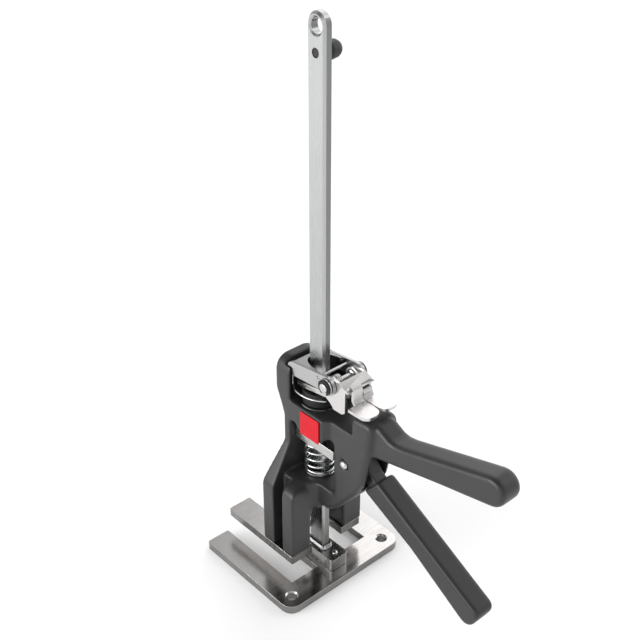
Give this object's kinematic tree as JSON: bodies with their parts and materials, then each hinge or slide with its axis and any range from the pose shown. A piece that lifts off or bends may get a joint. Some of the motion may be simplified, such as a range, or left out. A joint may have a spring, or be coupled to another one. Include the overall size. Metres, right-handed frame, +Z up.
{
  "type": "drywall lift",
  "caption": "Hand jack: a black carriage with a squeeze trigger and a steel lifting fork climbs a flat steel bar that stands on a flat U-shaped base.",
  "frame": {"origin": "the bar's axis where it meets the plane of the base's underside", "axes": "+X from the bar towards the handles, +Y across the tool, +Z up along the bar"},
  "size_m": [0.2086, 0.1, 0.3693],
  "materials": {
    "steel": "satin",
    "bright_steel": "bright",
    "black_steel": "black oxide",
    "black_casting": "satin black coat on a casting",
    "black_grip": "matt",
    "rubber": "matt",
    "red_label": "gloss"
  },
  "bodies": {
    "base": {"base_plate": "steel", "foot_block": "steel", "foot_screw_1": "bright_steel", "foot_screw_2": "bright_steel", "block_pin": "bright_steel", "bar": "steel", "bar_collar": "steel", "end_bumper": "rubber"},
    "carriage": {"casting": "black_casting", "lift_plate": "steel", "lift_screw_1": "bright_steel", "lift_screw_2": "bright_steel", "lift_screw_3": "bright_steel", "lift_screw_4": "bright_steel", "badge": "red_label", "spring_seat": "steel", "drive_spring": "bright_steel", "bush_washer": "bright_steel", "rubber_bush": "rubber", "spring_bail": "bright_steel", "pivot_pin": "bright_steel", "pivot_clip": "black_steel"},
    "drive_plate": {"drive_plate": "steel"},
    "trigger": {"trigger_lever": "black_casting", "trigger_grip": "black_grip"},
    "lock": {"lock_plate": "steel", "lock_bracket": "steel", "clevis_pin": "bright_steel", "spring_rod": "bright_steel", "torsion_spring": "bright_steel", "e_clip_left": "black_steel", "e_clip_right": "black_steel", "clip_washer_left": "bright_steel", "clip_washer_right": "bright_steel"},
    "release_lever": {"release_lever": "bright_steel"},
    "lowering_lever": {"lowering_lever": "bright_steel"}
  },
  "joints": [
    {"name": "lift_slide", "type": "slide", "parent": "base", "child": "carriage", "axis": [0, 0, 1], "range_m": [-0.018, 0.176]},
    {"name": "trigger_squeeze", "type": "hinge", "parent": "carriage", "child": "trigger", "pos_m": [0.034, 0, 0.106], "axis": [0, -1, 0], "range_deg": [0, 28], "stiffness_Nm_per_rad": 0.8, "springref_deg": -14.32},
    {"name": "drive_slide", "type": "slide", "parent": "carriage", "child": "drive_plate", "axis": [0, 0, 1], "range_m": [-0.0072, 0], "deforming": ["drive_spring"]},
    {"name": "release_press", "type": "hinge", "parent": "lock", "child": "release_lever", "pos_m": [0.0202, 0, 0.1568], "axis": [0, 1, 0], "range_deg": [0, 3.2], "stiffness_Nm_per_rad": 0.3, "springref_deg": -6.88},
    {"name": "lowering_press", "type": "hinge", "parent": "lock", "child": "lowering_lever", "pos_m": [0.0202, 0, 0.1568], "axis": [0, 1, 0], "range_deg": [0, 3.6], "stiffness_Nm_per_rad": 0.3, "springref_deg": -6.88},
    {"name": "lock_tilt", "type": "hinge", "parent": "carriage", "child": "lock", "pos_m": [-0.0108, 0, 0.1408], "axis": [0, 1, 0], "range_deg": [0, 1.2], "stiffness_Nm_per_rad": 4, "springref_deg": -2.86, "deforming": ["rubber_bush"]}
  ],
  "couplings": [
    {"joint": "drive_slide", "follows": "trigger_squeeze", "m_per_rad": -0.0142},
    {"joint": "lock_tilt", "follows": "release_press", "ratio": 0.35}
  ]
}
